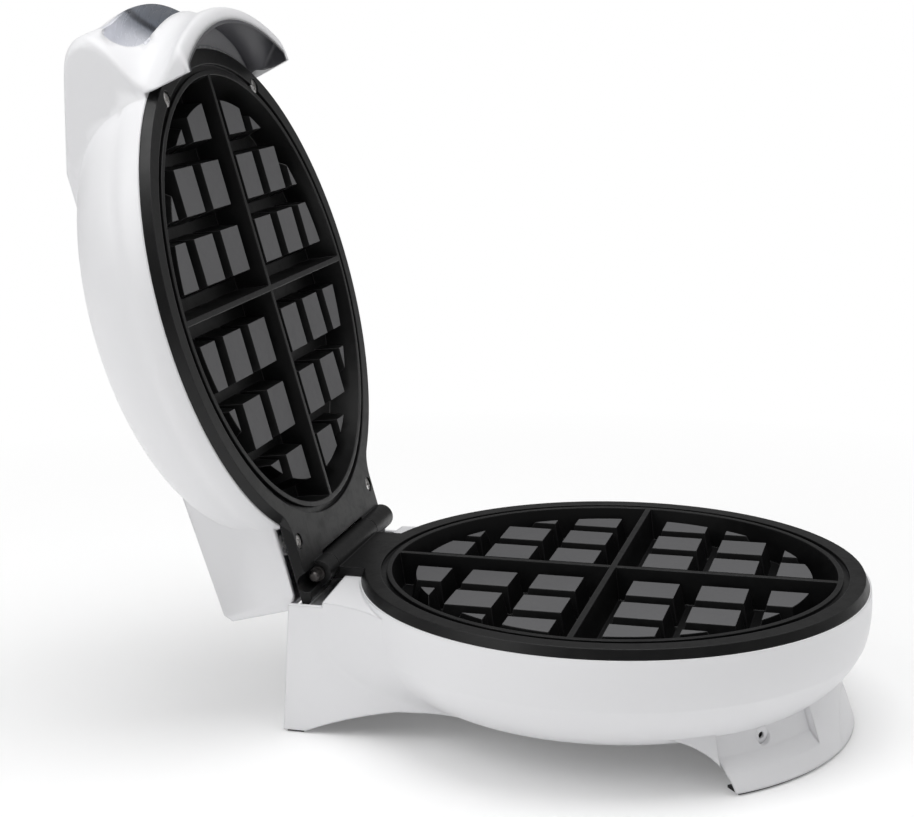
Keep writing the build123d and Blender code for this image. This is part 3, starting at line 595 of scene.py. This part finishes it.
def screw_tree():
    """Domed screws with a cross recess, one on each point, along the point's axis."""
    tree = bpy.data.node_groups.new("cross_recessed_screws", "GeometryNodeTree")
    sizes = ("Head radius", "Head height", "Recess length", "Recess width", "Shank radius",
             "Shank length")
    kinds = {"Geometry": "Geometry", **dict.fromkeys(sizes, "Float"), "Material": "Material"}
    for label, kind in kinds.items():
        tree.interface.new_socket(label, in_out="INPUT", socket_type=f"NodeSocket{kind}")
    tree.interface.new_socket("Geometry", in_out="OUTPUT", socket_type="NodeSocketGeometry")
    given = add(tree, "NodeGroupInput").outputs
    height = given["Head height"]

    def moved(geometry, rise):
        offset = add(tree, "ShaderNodeCombineXYZ", Z=rise).outputs[0]
        return add(tree, "GeometryNodeTransform", Geometry=geometry, Translation=offset).outputs[0]

    head = add(tree, "GeometryNodeMeshCylinder", {"fill_type": "TRIANGLE_FAN"}, Vertices=32,
               Fill_Segments=4, Radius=given["Head radius"], Depth=height).outputs["Mesh"]
    place = add(tree, "GeometryNodeInputPosition").outputs[0]
    parts = add(tree, "ShaderNodeSeparateXYZ", i0=place).outputs
    flat = add(tree, "ShaderNodeCombineXYZ", X=parts["X"], Y=parts["Y"]).outputs[0]
    out = maths(tree, "DIVIDE", vector_maths(tree, "LENGTH", flat)["Value"], given["Head radius"])
    rim = maths(tree, "MULTIPLY", maths(tree, "POWER", out, 2.0), height)
    sunk = add(tree, "ShaderNodeCombineXYZ", Z=maths(tree, "MULTIPLY", rim, -DOME_DROP)).outputs[0]
    upper = add(tree, "FunctionNodeCompare", {"operation": "GREATER_THAN"}, i0=parts["Z"],
                i1=0.0).outputs[0]
    domed = add(tree, "GeometryNodeSetPosition", Geometry=head, Selection=upper,
                Offset=sunk).outputs[0]
    recess = add(tree, "GeometryNodeMeshBoolean", {"operation": "DIFFERENCE", "solver": "EXACT"},
                 i0=domed)
    deep = maths(tree, "MULTIPLY", height, 2 * RECESS_DEPTH)
    for x, y in (("Recess length", "Recess width"), ("Recess width", "Recess length")):
        size = add(tree, "ShaderNodeCombineXYZ", X=given[x], Y=given[y], Z=deep).outputs[0]
        bar = add(tree, "GeometryNodeMeshCube", Size=size).outputs["Mesh"]
        fill(tree, recess, Mesh_2=moved(bar, maths(tree, "DIVIDE", height, 2.0)))
    shank = add(tree, "GeometryNodeMeshCylinder", Vertices=20, Radius=given["Shank radius"],
                Depth=given["Shank length"]).outputs["Mesh"]
    reach = maths(tree, "MULTIPLY", maths(tree, "ADD", height, given["Shank length"]), -0.5)
    screw = add(tree, "GeometryNodeJoinGeometry", Geometry=recess.outputs["Mesh"])
    fill(tree, screw, Geometry=moved(shank, reach))
    axis = add(tree, "GeometryNodeInputNamedAttribute", {"data_type": "FLOAT_VECTOR"},
               Name="axis").outputs[0]
    turn = add(tree, "GeometryNodeInputNamedAttribute", {"data_type": "FLOAT"},
               Name="turn").outputs[0]
    facing = add(tree, "FunctionNodeAlignRotationToVector", {"axis": "Z"}, Vector=axis).outputs[0]
    driven = add(tree, "FunctionNodeAxisAngleToRotation", Axis=UP, Angle=turn).outputs[0]
    turned = add(tree, "FunctionNodeRotateRotation", {"rotation_space": "LOCAL"}, i0=facing,
                 i1=driven).outputs[0]
    placed = add(tree, "GeometryNodeInstanceOnPoints", Points=given["Geometry"],
                 Instance=screw.outputs[0], Rotation=turned).outputs[0]
    real = add(tree, "GeometryNodeRealizeInstances", Geometry=placed).outputs[0]
    faced = add(tree, "GeometryNodeSetMaterial", Geometry=real, Material=given["Material"])
    add(tree, "NodeGroupOutput", Geometry=faced.outputs[0])
    return tree


def baked(source, name):
    """Plain mesh piece of what a modified object shows; the modified object goes."""
    bpy.context.view_layer.update()
    depsgraph = bpy.context.evaluated_depsgraph_get()
    mesh = bpy.data.meshes.new_from_object(source.evaluated_get(depsgraph))
    source.modifiers.clear()
    bpy.data.objects.remove(source)
    mesh.name = name
    piece = bpy.data.objects.new(name, mesh)
    bpy.context.scene.collection.objects.link(piece)
    return piece


def screws(name, node, axes_of, body, material):
    """Screws in place of those of a CAD node, each along its own axis."""
    sizes = looks().screws
    bodies = islands(node)
    axes = axes_of(bodies)
    seats = [screw_seat(points, axis, sizes.head_height) for points, axis in zip(bodies, axes)]
    middles, radii, shanks = zip(*seats)
    mesh = bpy.data.meshes.new(name)
    mesh.from_pydata(middles, [], [])
    mesh.attributes.new("axis", "FLOAT_VECTOR", "POINT").data.foreach_set(
        "vector", [value for axis in axes for value in axis])
    mesh.attributes.new("turn", "FLOAT", "POINT").data.foreach_set(
        "value", [FIRST_TURN + NEXT_TURN * n for n in range(len(seats))])
    holder = bpy.data.objects.new(name + "_points", mesh)
    bpy.context.scene.collection.objects.link(holder)
    tree = bpy.data.node_groups.get("cross_recessed_screws") or screw_tree()
    modifier = holder.modifiers.new("screws", "NODES")
    modifier.node_group = tree
    values = {"Head radius": min(radii), "Head height": sizes.head_height,
              "Recess length": sizes.recess_length, "Recess width": sizes.recess_width,
              "Shank radius": sizes.shank_radius, "Shank length": min(shanks),
              "Material": material}
    for socket in tree.interface.items_tree:
        if socket.in_out == "INPUT" and socket.name in values:
            modifier[socket.identifier] = values[socket.name]
    piece = baked(holder, name)
    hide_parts(node)
    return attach(piece, body)


def all_along(axis):
    return lambda bodies: [axis] * len(bodies)


def outward(bodies):
    """Level axes that point away from the middle of the base."""
    middle = middle_of("lower_reflector")
    found = []
    for points in bodies:
        axis = centre_of(points) - middle
        axis.z = 0
        found.append(axis.normalized())
    return found


# Steps


class WAFFLE_OT_shells(bpy.types.Operator):
    """Give the base, the lid and their linings their plastics"""

    bl_idname = "waffle.shells"
    bl_label = "Shells and linings"

    def execute(self, context):
        look = looks().shells
        radius = look.edge_radius
        white = moulded_plastic("white_plastic", look.white, look.white_roughness, radius)
        paint(white, "base_housing", "cord_gland")
        # The visor's dark colour is painted shade on the underside of the white shell
        lining = moulded_plastic("visor_plastic", look.visor, roughness=0.4,
                                 edge_radius=radius / 3)
        pocket = shaded_pocket(look)
        lens = moulded_plastic("lens_plastic", look.lens, roughness=0.2, edge_radius=radius / 4)
        lamp = moulded_plastic("lamp_plastic", look.lamp, roughness=0.4, edge_radius=radius / 4)
        shift = looks().lip
        middle = middle_of("pocket_liner")
        inward = Vector((0, LID_UP.z, -LID_UP.y))
        for name, node, material in (
                ("lid_shell", "lid_housing", white), ("pocket_lining", "pocket_liner", pocket),
                ("visor_lining", "grip_liner", lining), ("pocket_lenses", "lamp_lenses", lens),
                ("pocket_lamps", "lamps", lamp)):
            mesh = shifted_copy(node, shift, middle, inward, -LID_UP)
            piece = new_piece(name, mesh, material, "lid")
            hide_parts(node)
        return {"FINISHED"}


class WAFFLE_OT_skirt(bpy.types.Operator):
    """Close the front of the foot skirt and bush its screw holes"""

    bl_idname = "waffle.skirt"
    bl_label = "Front skirt"

    def execute(self, context):
        sizes = looks().skirt
        white = bpy.data.materials["white_plastic"]
        centre = middle_of("lower_reflector")
        centre.z = 0
        high_reach = sizes.reach - sizes.slope * (sizes.high - sizes.low)
        profile = ((sizes.reach, sizes.low), (high_reach, sizes.high),
                   (high_reach - sizes.thickness, sizes.high),
                   (sizes.reach - sizes.thickness, sizes.low))
        mesh = turned_wall("front_skirt", profile, centre, UP, FRONT, turn=2 * sizes.half_turn,
                           steps=24)
        new_piece("front_skirt", mesh, white, "base")
        bodies = islands("foot_screws")
        for side, points, axis in zip(("left", "right"), bodies, outward(bodies)):
            seat, radius, _ = screw_seat(points, axis, looks().screws.head_height)
            outer = radius + BUSH_OVERLAP
            ring = ((sizes.bush_hole, BUSH_LOW), (outer, BUSH_LOW), (outer, BUSH_HIGH),
                    (sizes.bush_hole, BUSH_HIGH))
            mesh = turned_wall(f"foot_bush_{side}", ring, seat, axis,
                               axis.orthogonal().normalized(), turn=2 * pi, steps=32)
            new_piece(f"foot_bush_{side}", mesh, white, "base")
        return {"FINISHED"}


class WAFFLE_OT_plates(bpy.types.Operator):
    """Coat the two baking plates"""

    bl_idname = "waffle.plates"
    bl_label = "Baking plates"

    def execute(self, context):
        look = looks().plates
        paint(coated_casting("lower_coating", look, UP), "lower_grid_plate")
        paint(coated_casting("upper_coating", look, -LID_UP), "upper_grid_plate")
        return {"FINISHED"}


class WAFFLE_OT_inner_parts(bpy.types.Operator):
    """Finish the heating and wiring parts inside the shells, the hinge pin and the feet"""

    bl_idname = "waffle.inner_parts"
    bl_label = "Inner parts and feet"

    def execute(self, context):
        look, fittings = looks().metal, looks().fittings
        paint(steel("bright_steel", look.steel, look.stained, look.roughness, stain=0.12),
              "lower_reflector", "upper_reflector", "thermostat", "upper_cutout",
              "lower_element_clips", "upper_element_clips")
        paint(steel("blackened_steel", look.blackened, look.stained, roughness=0.36, stain=0.2),
              "hinge_pin", "hinge_pin_clip")
        paint(steel("stained_steel", look.steel, look.stained, roughness=0.45, stain=1.0),
              "lower_element", "upper_element")
        paint(rubber("foot_rubber", fittings.rubber), "front_foot_pads", "rear_foot_pads")
        paint(moulded_plastic("ceramic_sleeve", fittings.ceramic, roughness=0.6,
                              edge_radius=0.0003), "thermal_fuse")
        paint(moulded_plastic("block_plastic", fittings.block, roughness=0.5,
                              edge_radius=0.0004), "terminal_block")
        return {"FINISHED"}


class WAFFLE_OT_screws(bpy.types.Operator):
    """Make the screws of the plates, the base, the feet and the reflector"""

    bl_idname = "waffle.screws"
    bl_label = "Screws"

    def execute(self, context):
        look = looks().metal
        zinc = steel("zinc_plate", look.steel, look.stained, look.roughness, stain=0.1)
        black = bpy.data.materials["blackened_steel"]
        screws("plate_screws_fitted", "plate_screws", all_along(-LID_UP), "lid", zinc)
        screws("reflector_screws_fitted", "upper_reflector_screws", all_along(LID_UP), "lid", zinc)
        screws("base_screws_fitted", "base_screws", all_along(DOWN), "base", zinc)
        screws("foot_screws_fitted", "foot_screws", outward, "base", black)
        return {"FINISHED"}


# Stage: lamps by name, place, aim and size; the sky's share low down and overhead; the floor's
# half width, where it starts and ends running out into white, and how white it is before that

LAMPS = (("key", (-0.9, 1.0, 1.2), (0, 0, 0.1), 1.2),
         ("top", (-0.1, -0.1, 1.5), (0, -0.05, 0), 1.0),
         ("front", (0.5, -1.0, 1.2), (0, 0.05, 0.2), 1.0))
SKY_LOW, SKY_HIGH = 0.45, 1.6
FLOOR_REACH = 20
FLOOR_PALER = 1.03
FADE_START, FADE_END, NEAR_GLOW = 0.2, 0.55, 0.14
SENSOR_WIDTH = 36
CAMERA_AIM = Vector((0, 0.0132, 0.1208))


def area_lamp(name, place, aim, size, power):
    data = bpy.data.lights.new(name, "AREA")
    data.energy, data.size = power, size
    lamp = bpy.data.objects.new(name, data)
    lamp.location = place
    lamp.rotation_euler = (Vector(aim) - Vector(place)).to_track_quat("-Z", "Y").to_euler()
    bpy.context.scene.collection.objects.link(lamp)


def floor_material(look):
    """Pale floor that keeps the shadow near the object and runs out into white."""
    material, tree, shader = new_material("studio_floor")
    place = object_place(tree)
    mottle = add(tree, "ShaderNodeTexNoise", Vector=place, Scale=6.0, Detail=3.0)
    paler = tuple(min(1.0, c * FLOOR_PALER) for c in look.floor)
    fill(tree, shader, Roughness=0.9, Specular_IOR_Level=0.1,
         Base_Color=mixed(tree, mottle.outputs[0], look.floor, paler))
    reach = vector_maths(tree, "LENGTH", place)["Value"]
    far = add(tree, "ShaderNodeMapRange", Value=reach, From_Min=FADE_START, From_Max=FADE_END,
              To_Min=NEAR_GLOW).outputs[0]
    rays = add(tree, "ShaderNodeLightPath").outputs
    seen = maths(tree, "MULTIPLY", rays["Is Camera Ray"], far)
    white = add(tree, "ShaderNodeEmission", Color=WHITE, Strength=1.0).outputs[0]
    mix = add(tree, "ShaderNodeMixShader", i0=seen, i1=shader.outputs[0], i2=white)
    fill(tree, tree.nodes["Material Output"], Surface=mix.outputs[0])
    return material


def studio_world(strength, mirrored):
    """Light from all round, stronger overhead, seen as white, and dimmer in reflections."""
    world = bpy.data.worlds.new("studio_world")
    world.use_nodes = True
    tree = world.node_tree
    rays = add(tree, "ShaderNodeLightPath").outputs
    towards = add(tree, "ShaderNodeTexCoord").outputs["Generated"]
    height = add(tree, "ShaderNodeSeparateXYZ", i0=towards).outputs["Z"]
    graded = ranged(tree, height, SKY_LOW * strength, SKY_HIGH * strength)
    glossy = rays["Is Glossy Ray"]
    kept = maths(tree, "MULTIPLY", graded, maths(tree, "SUBTRACT", 1.0, glossy))
    level = maths(tree, "ADD", kept, maths(tree, "MULTIPLY", glossy, mirrored))
    lit = fill(tree, tree.nodes["Background"], Color=WHITE, Strength=level).outputs[0]
    white = add(tree, "ShaderNodeBackground", Color=WHITE, Strength=1.0).outputs[0]
    seen = maths(tree, "MAXIMUM", rays["Is Camera Ray"], rays["Is Transmission Ray"])
    mix = add(tree, "ShaderNodeMixShader", i0=seen, i1=lit, i2=white)
    fill(tree, tree.nodes["World Output"], Surface=mix.outputs[0])
    return world


def studio_camera(look):
    turn, rise, roll = look.azimuth, look.elevation, look.roll
    back = Vector((sin(turn) * cos(rise), -cos(turn) * cos(rise), sin(rise)))
    right = Vector((cos(turn), sin(turn), 0))
    up = back.cross(right)
    side = right * cos(roll) + up * sin(roll)
    top = up * cos(roll) - right * sin(roll)
    data = bpy.data.cameras.new("camera")
    data.lens, data.sensor_width = look.lens, SENSOR_WIDTH
    camera = bpy.data.objects.new("camera", data)
    bpy.context.scene.collection.objects.link(camera)
    matrix = Matrix((side, top, back)).transposed().to_4x4()
    matrix.translation = CAMERA_AIM + back * look.distance
    camera.matrix_world = matrix
    return camera


class WAFFLE_OT_stage(bpy.types.Operator):
    """Set up the floor, the lamps and the camera"""

    bl_idname = "waffle.stage"
    bl_label = "Studio"

    def execute(self, context):
        look = looks().stage
        scene = context.scene
        mesh = bpy.data.meshes.new("studio_floor")
        shape = bmesh.new()
        bmesh.ops.create_grid(shape, x_segments=8, y_segments=8, size=FLOOR_REACH)
        shape.to_mesh(mesh)
        shape.free()
        floor = bpy.data.objects.new("studio_floor", mesh)
        scene.collection.objects.link(floor)
        mesh.materials.append(floor_material(look))
        for name, place, aim, size in LAMPS:
            area_lamp(f"{name}_lamp", place, aim, size, getattr(look, name))
        scene.world = studio_world(look.sky, look.mirrored)
        scene.camera = studio_camera(look)
        scene.view_settings.view_transform = "Standard"
        return {"FINISHED"}


# Add-on


class WAFFLE_PT_looks(bpy.types.Panel):
    """Lists the sizes, the colours and the steps"""

    bl_idname = "WAFFLE_PT_looks"
    bl_label = "Waffle maker"
    bl_space_type = "VIEW_3D"
    bl_region_type = "UI"
    bl_category = "Waffle maker"

    def draw(self, context):
        for group in WaffleMakerLooks.__annotations__:
            look = getattr(looks(), group)
            box = self.layout.box()
            box.label(text=group.capitalize())
            for name in type(look).__annotations__:
                box.prop(look, name)
        for step in OPERATORS:
            self.layout.operator(step.bl_idname)


OPERATORS = (WAFFLE_OT_shells, WAFFLE_OT_skirt, WAFFLE_OT_plates, WAFFLE_OT_inner_parts,
             WAFFLE_OT_screws, WAFFLE_OT_stage)
CLASSES = (ShellLook, SkirtSizes, LipShift, PlateLook, MetalLook, FittingLook, ScrewSizes,
           StageLook, WaffleMakerLooks, *OPERATORS, WAFFLE_PT_looks)


def register():
    for item in CLASSES:
        bpy.utils.register_class(item)
    bpy.types.Scene.waffle_maker = PointerProperty(type=WaffleMakerLooks)


def unregister():
    del bpy.types.Scene.waffle_maker
    for item in reversed(CLASSES):
        bpy.utils.unregister_class(item)


def main():
    register()
    for step in OPERATORS:
        getattr(bpy.ops.waffle, step.bl_idname.split(".")[1])()


if __name__ == "__main__":
    main()
